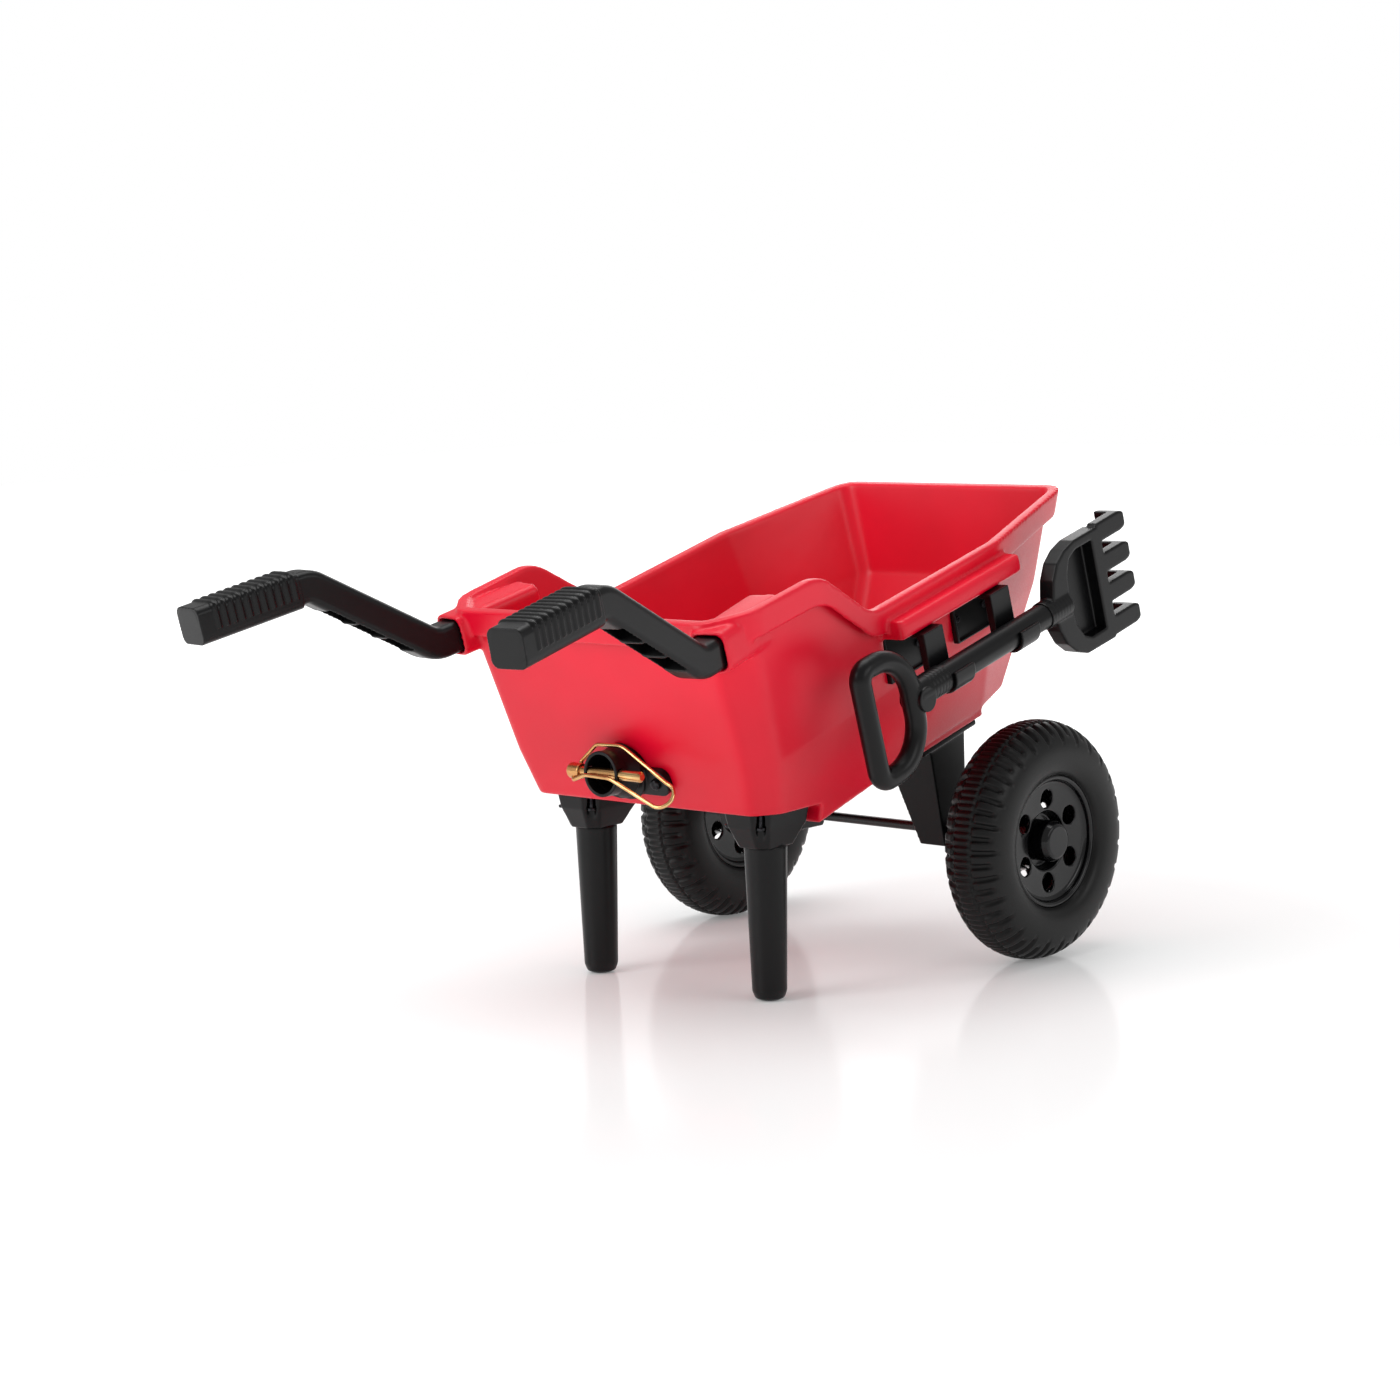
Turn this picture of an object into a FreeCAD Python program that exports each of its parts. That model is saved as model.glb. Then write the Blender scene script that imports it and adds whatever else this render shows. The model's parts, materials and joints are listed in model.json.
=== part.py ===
import FreeCAD, Part
import Sketcher
import os
from math import acos, cos, pi, radians, sin, sqrt, tan

# A child's two-wheel garden barrow that also tows behind a ride-on tractor.
# Frame: +X towards the wheels, +Y to the left, +Z up. The origin is on the floor, on the
# plane of symmetry, halfway along the overall length. Millimetres throughout.
#
# The tub is pitched, wheels' end up, so the tub and what hangs on it are drawn in a tilted
# frame: u runs along the tub's floor towards the wheels, y as above, w square to the floor.

V = FreeCAD.Vector
Y_AXIS = V(0, 1, 0)

DRIVING_SIZES = [
    ("axle_x", "282.1", "axle, from the middle of the overall length"),
    ("axle_z", "120", "axle above the floor"),
    ("pitch", "15.3", "tub floor's rise towards the wheels, degrees"),
    ("wall", "3", "tub moulding's wall"),
    ("floor_w", "226", "underside of the tub floor, in the tilted frame"),
    ("knee_w", "318", "where the end wall turns steeper"),
    ("top_w", "478", "height the tub walls are drawn to before the rim is cut"),
    ("rim_w", "410", "crest of the long rim"),
    ("bow_w", "474", "crest of the raised bow between the handles"),
    ("bow_end", "-182", "where the raised bow starts to fall"),
    ("dip_start", "-113", "where the long rim starts"),
    ("rim_out", "10", "rim's width outside the wall"),
    ("skirt", "28", "rim's height"),
    ("socket_u", "-322", "mouth of a handle socket"),
    ("socket_y", "170", "handle socket from the middle"),
    ("socket_w", "449", "handle socket's axis above the tilted base plane"),
    ("socket_deep", "100", "length of a handle socket"),
    ("socket_side", "40", "outside of a handle socket, square"),
    ("splay", "7.6", "handles' splay in plan, degrees"),
    ("handle_side", "31.5", "handle arm's width and height"),
    ("rail_front", "-94", "front end of the side rail"),
    ("rail_back", "100", "back end of the side rail"),
    ("rail_low", "374.5", "underside of the side rail"),
    ("rail_high", "394", "top of the side rail"),
    ("rail_y", "202", "outside of the side rail"),
    ("window_long", "58", "tool window's length"),
    ("window_low", "326", "bottom edge of a tool window"),
    ("window_deep", "163", "back wall of a tool window, from the middle"),
    ("window_front_u", "-88", "front edge of the front window"),
    ("window_rear_u", "20", "front edge of the rear window"),
    ("leg_x", "-296.5", "leg, from the axle"),
    ("leg_y", "112.5", "leg from the middle"),
    ("leg_top", "149", "foot of the leg socket"),
    ("leg_r", "20.7", "leg's radius at its socket"),
    ("foot_r", "16.8", "leg's radius near the floor"),
    ("ledge_z", "185", "underside of the tub over the leg sockets"),
    ("hitch_z", "222", "tow socket's axis"),
    ("mouth_x", "-402", "mouth of the tow socket, from the axle"),
    ("hitch_r", "22", "tow socket's outside radius"),
    ("seat_r", "17.5", "tow socket's seat radius"),
    ("seat_long", "18", "tow socket's seat length"),
    ("pin_x", "-395.5", "hitch pin, from the axle"),
    ("pin_r", "5.3", "hitch pin's radius"),
    ("wire_r", "1.9", "bail wire's radius"),
    ("axle_r", "5", "axle's radius"),
    ("bracket_out", "112", "outside face of an axle bracket"),
    ("tyre_r", "120", "tyre's radius"),
    ("tyre_half", "34", "half the tyre's width"),
    ("wheel_y", "206", "wheel's middle plane"),
    ("lip_r", "62", "wheel disc's lip radius"),
    ("rake_y", "222", "rake's plane, from the middle"),
    ("rake_w", "331.5", "rake shaft's axis"),
    ("shaft_r", "13", "rake shaft's radius"),
    ("clip_long", "30", "a tool clip's length along the shaft"),
    ("slack", "0.35", "gap between pieces that move apart"),
]

doc = FreeCAD.newDocument("garden_barrow")
sheet = doc.addObject("Spreadsheet::Sheet", "sizes")
for row, (alias, number, meaning) in enumerate(DRIVING_SIZES, start=1):
    sheet.set(f"A{row}", meaning)
    sheet.set(f"B{row}", number)
    sheet.setAlias(f"B{row}", alias)
doc.recompute()


class Size:
    """A length that keeps both its number and the sheet expression that gives it."""

    def __init__(self, number, text):
        self.number = number
        self.text = text

    def __add__(self, other):
        return Size(self.number + plain(other), f"({self.text} + {words(other)})")

    def __sub__(self, other):
        return Size(self.number - plain(other), f"({self.text} - {words(other)})")

    def __mul__(self, factor):
        return Size(self.number * factor, f"({self.text} * {factor})")

    def __neg__(self):
        return Size(-self.number, f"(0 - {self.text})")

    def __float__(self):
        return self.number


def plain(value):
    return value.number if isinstance(value, Size) else float(value)


def words(value):
    return value.text if isinstance(value, Size) else f"{float(value)}"


def size(alias):
    return Size(float(sheet.get(alias)), f"sizes.{alias}")


def bind(thing, path, value):
    """Gives a property its number, or binds it to the sheet."""
    if isinstance(value, Size):
        thing.setExpression(path, value.text)
    else:
        holder = thing
        *steps, last = path.split(".")
        for step in steps:
            holder = getattr(holder, step)
        setattr(holder, last, value)


PIECES = []


def keep(piece, label):
    piece.Label = label
    PIECES.append(piece)
    return piece


def place(piece, x=None, y=None, z=None, tilted=False):
    """Puts a piece in the barrow's frame; x counts from the axle."""
    turn = FreeCAD.Rotation(Y_AXIS, -plain(size("pitch"))) if tilted else FreeCAD.Rotation()
    piece.Placement = FreeCAD.Placement(V(0, 0, 0), turn)
    if tilted:
        piece.setExpression("Placement.Rotation.Angle", size("pitch").text)
        piece.Placement.Rotation = FreeCAD.Rotation(V(0, -1, 0), plain(size("pitch")))
    bind(piece, "Placement.Base.x", size("axle_x") if x is None else size("axle_x") + x)
    if y is not None:
        bind(piece, "Placement.Base.y", y if isinstance(y, Size) else Size(float(y), f"{float(y)}"))
    if z is not None:
        bind(piece, "Placement.Base.z", z if isinstance(z, Size) else Size(float(z), f"{float(z)}"))


# PartDesign helpers

def new_body(label):
    body = doc.addObject("PartDesign::Body", label)
    return keep(body, label)


def sketch_on(body, name, role="XY_Plane", lift=None):
    sketch = body.newObject("Sketcher::SketchObject", name)
    plane = next(f for f in body.Origin.OriginFeatures if f.Role == role)
    sketch.AttachmentSupport = [(plane, "")]
    sketch.MapMode = "FlatFace"
    if lift is not None:
        bind(sketch, "AttachmentOffset.Base.z", lift if isinstance(lift, Size) else Size(lift, f"{lift}"))
    return sketch


def fix(sketch, kind, first, value, spot=1):
    """Holds a point's place or a circle's radius, from the sheet where the value is a Size."""
    if kind == "Radius":
        made = sketch.addConstraint(Sketcher.Constraint(kind, first, plain(value)))
    else:
        made = sketch.addConstraint(Sketcher.Constraint(kind, -1, 1, first, spot, plain(value)))
    if isinstance(value, Size):
        sketch.setExpression(f"Constraints[{made}]", value.text)


def outline(sketch, corners):
    """A closed run of straight lines through the corners, each corner held by two distances."""
    start = sketch.GeometryCount
    spots = [V(plain(a), plain(b), 0) for a, b in corners]
    for here, there in zip(spots, spots[1:] + spots[:1]):
        sketch.addGeometry(Part.LineSegment(here, there), False)
    for index, (a, b) in enumerate(corners):
        line = start + index
        before = start + (index - 1) % len(corners)
        sketch.addConstraint(Sketcher.Constraint("Coincident", before, 2, line, 1))
        fix(sketch, "DistanceX", line, a)
        fix(sketch, "DistanceY", line, b)


def circle(sketch, a, b, radius):
    made = sketch.addGeometry(Part.Circle(V(plain(a), plain(b), 0), V(0, 0, 1), plain(radius)), False)
    fix(sketch, "DistanceX", made, a, spot=3)
    fix(sketch, "DistanceY", made, b, spot=3)
    fix(sketch, "Radius", made, radius)


def pad(body, sketch, length, midplane=False, reverse=False):
    made = body.newObject("PartDesign::Pad", f"{sketch.Name}_pad")
    made.Profile = sketch
    bind(made, "Length", length)
    made.Midplane = midplane
    made.Reversed = reverse
    return made


def pocket(body, sketch, length, midplane=False, reverse=False):
    made = body.newObject("PartDesign::Pocket", f"{sketch.Name}_pocket")
    made.Profile = sketch
    bind(made, "Length", length)
    made.Midplane = midplane
    made.Reversed = reverse
    return made


def revolve(body, sketch, axis="V_Axis"):
    made = body.newObject("PartDesign::Revolution", f"{sketch.Name}_turned")
    made.Profile = sketch
    made.ReferenceAxis = (sketch, [axis])
    made.Angle = 360
    return made


def pattern(body, feature, sketch, count):
    made = body.newObject("PartDesign::PolarPattern", f"{feature.Name}_ring")
    made.Originals = [feature]
    made.Axis = (sketch, ["N_Axis"])
    made.Angle = 360
    made.Occurrences = count
    body.Tip = made
    return made


def turned(label, corners, x=0.0, y=0.0, z=0.0, upright=False):
    """A piece turned about its own axis: Y, or Z when upright. Corners are (radius, along)."""
    body = new_body(label)
    sketch = sketch_on(body, f"{label}_profile", "XZ_Plane" if upright else "XY_Plane")
    outline(sketch, corners)
    revolve(body, sketch)
    place(body, x, y, z)
    return body


def coded(label, shape, tilted=False):
    """A piece whose shape is worked out here with Part's functions, then placed."""
    piece = doc.addObject("Part::Feature", label)
    piece.Shape = shape
    place(piece, tilted=tilted)
    return keep(piece, label)


# Part helpers for the moulded pieces

def inset(points, distance):
    """The polygon with every side moved inwards."""
    moved = []
    count = len(points)
    turn = sum(points[i][0] * points[(i + 1) % count][1] - points[(i + 1) % count][0] * points[i][1]
               for i in range(count))
    way = 1 if turn > 0 else -1
    for i in range(count):
        sides = []
        for a, b in ((points[i - 1], points[i]), (points[i], points[(i + 1) % count])):
            dx, dy = b[0] - a[0], b[1] - a[1]
            long = sqrt(dx * dx + dy * dy)
            nx, ny = -dy / long * way, dx / long * way
            sides.append((a[0] + nx * distance, a[1] + ny * distance, dx, dy))
        (ax, ay, adx, ady), (bx, by, bdx, bdy) = sides
        cross = adx * bdy - ady * bdx
        t = ((bx - ax) * bdy - (by - ay) * bdx) / cross
        moved.append((ax + adx * t, ay + ady * t))
    return moved


def rounded_path(points, radii, closed=True):
    """Edges through the points, with a tangent arc at each corner."""
    edges = []
    count = len(points)
    starts, ends = [], []
    for i, here in enumerate(points):
        if not closed and i in (0, count - 1) or radii[i] == 0:
            starts.append(here)
            ends.append(here)
            continue
        before, after = points[i - 1], points[(i + 1) % count]
        back = (before - here).normalize()
        ahead = (after - here).normalize()
        half = acos(max(-1.0, min(1.0, back.dot(ahead)))) / 2
        reach = radii[i] / tan(half)
        middle = (back + ahead).normalize() * (radii[i] / sin(half) - radii[i])
        first, last = here + back * reach, here + ahead * reach
        starts.append(first)
        ends.append(last)
        edges.append((i, Part.Arc(first, here + middle, last).toShape()))
    arcs = dict(edges)
    run = []
    for i in range(count):
        if i in arcs:
            run.append(arcs[i])
        if i < count - 1 or closed:
            run.append(Part.LineSegment(ends[i], starts[(i + 1) % count]).toShape())
    return run


def ring_at(half, height, radii, shrink=0.0):
    """A closed outline, mirrored about the middle, at one height of the tilted frame."""
    points = half + [(u, -y) for u, y in reversed(half)]
    points = inset(points, shrink)
    corner = [max(r - shrink, 1.0) for r in radii + radii[::-1]]
    spots = [V(u, y, height) for u, y in points]
    return Part.Wire(rounded_path(spots, corner))


def prism(points, low, high):
    """A polygon pushed along Y, given by its (x, z) corners."""
    wire = Part.makePolygon([V(a, low, b) for a, b in points] + [V(points[0][0], low, points[0][1])])
    return Part.Face(wire).extrude(V(0, high - low, 0))


def block(u0, u1, y0, y1, w0, w1):
    return Part.makeBox(u1 - u0, y1 - y0, w1 - w0, V(u0, y0, w0))


def both_sides(shape):
    return [shape, shape.mirror(V(0, 0, 0), Y_AXIS)]


def soft_edges(shape, radius, test):
    return shape.makeFillet(radius, [e for e in shape.Edges if test(e)])


def run_of(edge):
    return edge.Vertexes[-1].Point - edge.Vertexes[0].Point


# Tub: one rotational moulding with a flared rim, handle sockets, side rails, tool windows,
# a ledge that the leg sockets fit under and pads for the axle brackets.

pitch = radians(plain(size("pitch")))


def tilt_x(x, z):
    return x * cos(pitch) + z * sin(pitch)


def tilt_z(x, z):
    return z * cos(pitch) - x * sin(pitch)


wall = plain(size("wall"))
floor_w = plain(size("floor_w"))
knee_w = plain(size("knee_w"))
top_w = plain(size("top_w"))
rim_w = plain(size("rim_w"))
bow_w = plain(size("bow_w"))
bow_end = plain(size("bow_end"))
dip_start = plain(size("dip_start"))

FLOOR_LINE = [(-281.0, 133.0), (-256.0, 146.0), (95.0, 120.0), (156.0, 104.0)]
KNEE_LINE = [(-291.0, 150.0), (-262.0, 168.0), (90.0, 158.0), (226.0, 116.0)]
TOP_LINE = [(-308.0, 156.0), (-278.0, 184.0), (86.0, 190.0), (268.0, 158.0)]
FLOOR_ROUND = [14.0, 20.0, 24.0, 16.0]
KNEE_ROUND = [14.0, 24.0, 28.0, 18.0]
TOP_ROUND = [14.0, 26.0, 34.0, 20.0]


def tub_block(shrink, floor_lift=0.0):
    """The tub's outside, moved inwards by shrink, as a solid."""
    rings = [
        ring_at(FLOOR_LINE, floor_w + floor_lift, FLOOR_ROUND, shrink),
        ring_at(KNEE_LINE, knee_w, KNEE_ROUND, shrink),
        ring_at(TOP_LINE, top_w, TOP_ROUND, shrink),
    ]
    return Part.makeLoft(rings, True, True)


def rim_profile(drop, height):
    """The rim's line from the side, dropped, and closed off at a height above or below."""
    line = [
        V(-360, 0, bow_w - drop),
        V(bow_end, 0, bow_w - drop),
        V(dip_start, 0, rim_w - drop),
        V(300, 0, rim_w - drop),
    ]
    run = rounded_path(line, [0, 45, 38, 0], closed=False)
    corners = [line[-1], V(300, 0, height), V(-360, 0, height), line[0]]
    run += [Part.LineSegment(a, b).toShape() for a, b in zip(corners, corners[1:])]
    return Part.Face(Part.Wire(run))


def rim_prism(drop, height):
    face = rim_profile(drop, height)
    face.translate(V(0, -260, 0))
    return face.extrude(V(0, 520, 0))


def ledge_block(extra):
    """The space under the tub's front, level with the floor, where the leg sockets sit."""
    back = plain(size("leg_x")) + 45.5 + extra
    top = plain(size("ledge_z")) + extra
    corners = [(-420, 60), (back, 60), (back, top), (-420, top)]
    return prism([(tilt_x(x, z), tilt_z(x, z)) for x, z in corners], -200, 200)


def socket_block(side, start, stop, grow=0.0):
    """A square run along a handle socket's axis, splayed in plan."""
    mouth = V(plain(size("socket_u")), plain(size("socket_y")), plain(size("socket_w")))
    half = side / 2
    piece = block(start, stop, -half, half, -half, half)
    piece = soft_edges(piece, side * 0.2, lambda e: abs(run_of(e).x) > 1)
    piece.rotate(V(0, 0, 0), V(0, 0, 1), -plain(size("splay")))
    piece.translate(mouth)
    return piece


rim_out = plain(size("rim_out"))
skirt = plain(size("skirt"))
outside = tub_block(0).cut(ledge_block(0))
inside = tub_block(wall, wall).cut(ledge_block(wall))
flared = tub_block(-rim_out)
band = flared.cut(rim_prism(0, 700)).common(rim_prism(skirt, 700))
channel = tub_block(-rim_out + wall).cut(tub_block(0)).cut(rim_prism(wall, 700)).common(rim_prism(skirt + 2, 700))
shell = outside.cut(rim_prism(0, 700)).fuse(band.cut(channel))

socket_deep = plain(size("socket_deep"))
socket_side = plain(size("socket_side"))
for piece in both_sides(socket_block(socket_side, 0, socket_deep)):
    shell = shell.fuse(piece)

rail_y = plain(size("rail_y"))
rail = block(plain(size("rail_front")), plain(size("rail_back")), 150, rail_y,
             plain(size("rail_low")), plain(size("rail_high")))
rail = soft_edges(rail, 5, lambda e: e.BoundBox.YMin > rail_y - 1)
window_long = plain(size("window_long"))
window_low = plain(size("window_low"))
window_high = plain(size("rail_low"))
window_deep = plain(size("window_deep"))
for piece in both_sides(rail):
    shell = shell.fuse(piece)

pads = block(-66, 96, 56, 119, floor_w - 9, floor_w + wall)
for piece in both_sides(pads):
    shell = shell.fuse(piece)

cavity = inside
for start in (plain(size("window_front_u")), plain(size("window_rear_u"))):
    cavity = cavity.cut(block(start - wall, start + window_long + wall, -220, wall - window_deep,
                              window_low - wall, window_high + wall))
for piece in both_sides(socket_block(socket_side, 0, socket_deep)):
    cavity = cavity.cut(piece)
shell = shell.cut(cavity)
for start in (plain(size("window_front_u")), plain(size("window_rear_u"))):
    shell = shell.cut(block(start, start + window_long, -230, -window_deep, window_low, window_high))
for piece in both_sides(socket_block(socket_side - 7, -30, socket_deep - 4)):
    shell = shell.cut(piece)

drilled = []


def drill_tub(spot, axis, radius, long):
    """Notes a screw hole for the tub, given in the barrow's own frame."""
    hole = Part.makeCylinder(radius, long, spot - axis * 2, axis)
    hole.rotate(V(0, 0, 0), Y_AXIS, plain(size("pitch")))
    drilled.append(hole)


# Legs: blow-moulded tubes that taper to a rounded foot and plug into moulded sockets
# screwed under the tub's front corners.

leg_r = size("leg_r")
foot_r = size("foot_r")
leg_top = size("leg_top")
LEG_PLUG = 30.0
LEG_WALL = 3.0
ledge_z = size("ledge_z")
for side, name in ((1, "left"), (-1, "right")):
    turned(f"leg_{name}", [
        (0, 0), (foot_r - 8, 0), (foot_r - 2.5, 2.5), (foot_r, 9), (leg_r, leg_top),
        (leg_r - 2, leg_top), (leg_r - 2, leg_top + LEG_PLUG), (leg_r - 5, leg_top + LEG_PLUG),
        (leg_r - 5, leg_top - 4), (foot_r - LEG_WALL, 12), (foot_r - 8, LEG_WALL), (0, LEG_WALL),
    ], size("leg_x"), size("leg_y") * side, 0.0, upright=True)


def leg_socket(side):
    """A square-topped cup that narrows to a round collar about the leg."""
    x, y = plain(size("leg_x")), plain(size("leg_y"))
    top, foot = plain(ledge_z), plain(leg_top)
    front, back = x - 37.5, x + 45.0
    near, far = y - 31.0, y + 29.0
    corner = 14.0
    upper = [(front + corner, near), (back - corner, near), (back, near + corner), (back, far - corner),
             (back - corner, far), (front + corner, far), (front, far - corner), (front, near + corner)]
    lower = []
    for px, py in upper:
        dx, dy = px - x, py - y
        long = sqrt(dx * dx + dy * dy)
        lower.append((x + dx / long * 26.0, y + dy / long * 26.0))
    waist = top - 15.0
    rings = [[V(a, b, top) for a, b in upper], [V(a, b, waist) for a, b in inset(upper, 3.0)],
             [V(a, b, foot) for a, b in lower]]
    wires = [Part.makePolygon(r + r[:1]) for r in rings]
    cup = Part.makeLoft(wires[:2], True, True).fuse(Part.makeLoft(wires[1:], True, True))
    cup = cup.cut(Part.makeCylinder(plain(leg_r) - 2.0, 60, V(x, y, foot - 1)))
    for dx, dy in LEG_SCREWS:
        cup = cup.cut(Part.makeCylinder(2.2, 60, V(x + dx, y + dy, foot - 1)))
        cup = cup.cut(Part.makeCylinder(4.6, 60, V(x + dx, y + dy, top - 44 - 14)))
    if side < 0:
        cup = cup.mirror(V(0, 0, 0), Y_AXIS)
    return cup


LEG_SCREWS = ((29.0, -20.0), (29.0, 18.0), (-27.0, -21.0), (-27.0, 19.0))


def screw(spot, axis, radius, long, head_r, head_long):
    """A pan-head screw whose head's underside is at the spot, with its shank along the axis."""
    shank = Part.makeCylinder(radius, long, spot, axis)
    head = Part.makeCylinder(head_r, head_long, spot, axis * -1)
    head = head.makeFillet(head_long * 0.4, [e for e in head.Edges if e.BoundBox.DiagonalLength > head_r
                           and (e.BoundBox.Center - spot).dot(axis) < -head_long * 0.9])
    slot = Part.makeBox(head_r, 0.9, 1.0)
    slot.translate(V(-head_r / 2, -0.45, head_long - 0.9))
    slot.Placement = FreeCAD.Placement(spot, FreeCAD.Rotation(V(0, 0, 1), axis * -1)).multiply(slot.Placement)
    return shank.fuse(head).cut(slot)


screws = []
for side in (1, -1):
    coded(f"leg_socket_{'left' if side > 0 else 'right'}", leg_socket(side))
    for dx, dy in LEG_SCREWS:
        spot = V(plain(size("leg_x")) + dx, side * (plain(size("leg_y")) + dy), plain(ledge_z) - 14)
        screws.append(screw(spot, V(0, 0, 1), 2.1, 16.4, 4.2, 2.6))
        drill_tub(spot, V(0, 0, 1), 2.15, 18.6)
coded("leg_socket_screws", Part.makeCompound(screws))

# Handles: moulded arms with a ribbed grip, a channel underneath and a spigot that plugs
# into the tub's handle socket. Drawn along -X from the socket's mouth, then splayed.

handle_side = plain(size("handle_side"))
SPIGOT = 60.0
ARM_FALL = 26.3
GRIP_FALL = 12.6
GRIP_WIDE, GRIP_HIGH = 38.0, 36.0
GRIP_START = 15.0
GRIP_RIBS = 11
RIB_PITCH = 8.6
RIB_HALF = 1.2
RIB_DEEP = 2.0


def boxed_section(wide, high, centre, along):
    """A rounded rectangle across a straight run in the XZ plane."""
    up = Y_AXIS.cross(along).normalize()
    corners = [centre + Y_AXIS * (a * wide / 2) + up * (b * high / 2)
               for a, b in ((1, 1), (-1, 1), (-1, -1), (1, -1))]
    return Part.Wire(rounded_path(corners, [high * 0.22] * 4))


UP_TUB = V(-sin(pitch), 0, cos(pitch))


def handle(side):
    mouth_z = plain(size("socket_u")) * sin(pitch) + plain(size("socket_w")) * cos(pitch)
    mouth = plain(size("socket_u")) * cos(pitch) - plain(size("socket_w")) * sin(pitch)
    rise = tan(pitch)
    points = [V(-3, 0, -3 * rise), V(-24, 0, -6.2), V(-164, 0, 62.9), V(-288.2, 0, 35)]
    along = V(-1, 0, -rise).normalize()
    path = Part.Wire(rounded_path(points, [0, 30, 24, 0], closed=False))
    arm = path.makePipeShell([boxed_section(handle_side, handle_side, points[0], along)], True, False)
    spigot = Part.Face(boxed_section(handle_side - 0.6, handle_side - 0.6, points[0], along))
    arm = arm.fuse(spigot.extrude(along * -SPIGOT))
    grip = (points[3] - points[2]).normalize()
    hold = Part.Face(boxed_section(GRIP_WIDE, GRIP_HIGH, points[2] + grip * GRIP_START, grip))
    arm = arm.fuse(hold.extrude(points[3] - points[2] - grip * GRIP_START))
    for start in (24, 60, 96):
        pit = block(-start - 33, -start, -13, 13, -30, 8)
        pit.Placement = FreeCAD.Placement(points[1], FreeCAD.Rotation(Y_AXIS, ARM_FALL))
        arm = arm.cut(pit)
    for count in range(GRIP_RIBS):
        spot = points[2] + grip * (24 + count * RIB_PITCH)
        groove = block(-RIB_HALF, RIB_HALF, -30, 30, -6, 30)
        groove = groove.cut(block(-2, 2, RIB_DEEP - GRIP_WIDE / 2, GRIP_WIDE / 2 - RIB_DEEP,
                                  -8, GRIP_HIGH / 2 - RIB_DEEP))
        groove.Placement = FreeCAD.Placement(spot, FreeCAD.Rotation(Y_AXIS, -GRIP_FALL))
        arm = arm.cut(groove)
    arm.translate(V(mouth, 0, mouth_z))
    arm.rotate(V(mouth, 0, mouth_z), V(0, 0, 1), -plain(size("splay")))
    arm.translate(V(0, plain(size("socket_y")), 0))
    for hole in handle_screw_spots(1):
        arm = arm.cut(Part.makeCylinder(1.95, 14, hole, UP_TUB))
    if side < 0:
        arm = arm.mirror(V(0, 0, 0), Y_AXIS)
    return arm


def handle_screw_spots(side):
    """Undersides of the two screw holes in each handle socket."""
    spots = []
    for back in (26.0, 48.0):
        u = plain(size("socket_u")) + back
        w = plain(size("socket_w")) - socket_side / 2
        y = plain(size("socket_y")) - back * tan(radians(plain(size("splay"))))
        spots.append(V(u * cos(pitch) - w * sin(pitch), side * y, u * sin(pitch) + w * cos(pitch)))
    return spots


for side, name in ((1, "left"), (-1, "right")):
    coded(f"handle_{name}", handle(side))

screws = []
for side in (1, -1):
    for spot in handle_screw_spots(side):
        screws.append(screw(spot, UP_TUB, 1.9, 12, 4.0, 2.4))
        drill_tub(spot, UP_TUB, 1.95, 8)
coded("handle_screws", Part.makeCompound(screws))

# Tow socket: a moulded collar with two bolted wings and a short tube that takes the
# tractor's tow peg. The hitch pin crosses it just inside the mouth.

hitch_z = plain(size("hitch_z"))
mouth_x = plain(size("mouth_x"))
hitch_r = plain(size("hitch_r"))
seat_r = plain(size("seat_r"))
seat_long = plain(size("seat_long"))
pin_x = plain(size("pin_x"))
pin_r = plain(size("pin_r"))
slack = plain(size("slack"))
BOLT_Y = 38.0
BOLT_DROP = -9.0
BOLT_R = 3.0
FRONT_LEAN = pitch + radians(6.1)
COLLAR_R = 27.0
WING_HALF = 52.0
MOUTH_DEEP = 14.0
FLANGE = 8.0


def front_face(z):
    """X of the front wall's outside at a height."""
    low_x, low_z = -291.0 * cos(pitch) - knee_w * sin(pitch), -291.0 * sin(pitch) + knee_w * cos(pitch)
    return low_x - (z - low_z) * tan(FRONT_LEAN)


def lean(shape, x, z):
    """Tips a shape drawn upright at the origin so that its back lies on the front wall."""
    shape.rotate(V(0, 0, 0), Y_AXIS, -FRONT_LEAN * 180 / pi)
    shape.translate(V(x, 0, z))
    return shape


wall_x = front_face(hitch_z)
collar = lean(Part.makeCylinder(COLLAR_R, FLANGE + 4, V(0, 0, 0), V(-1, 0, 0)), wall_x, hitch_z)
wings = block(-FLANGE, 0, -WING_HALF, WING_HALF, -22, 5)
wings = soft_edges(wings, 10, lambda e: abs(run_of(e).x) > 1)
wings = lean(wings, wall_x, hitch_z)
tube = Part.makeCylinder(hitch_r, wall_x - 2 - mouth_x, V(mouth_x, 0, hitch_z), V(1, 0, 0))
cone = Part.makeCone(hitch_r, COLLAR_R, 14, V(wall_x - 26, 0, hitch_z), V(1, 0, 0))
hitch = collar.fuse(wings).fuse(tube).fuse(cone)
bore_end = mouth_x + MOUTH_DEEP + seat_long
hitch = hitch.cut(Part.makeCylinder(seat_r, seat_long, V(mouth_x + MOUTH_DEEP, 0, hitch_z), V(1, 0, 0)))
hitch = hitch.cut(Part.makeCylinder(seat_r + 1.2, MOUTH_DEEP, V(mouth_x, 0, hitch_z), V(1, 0, 0)))
behind_wall = prism([(0, -200), (60, -200), (60, 200), (0, 200)], -100, 100)
hitch = hitch.cut(lean(behind_wall, wall_x, hitch_z))
hitch = hitch.cut(Part.makeCylinder(pin_r + slack, 120, V(pin_x, -60, hitch_z), Y_AXIS))
bolts, nuts = [], []
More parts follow.
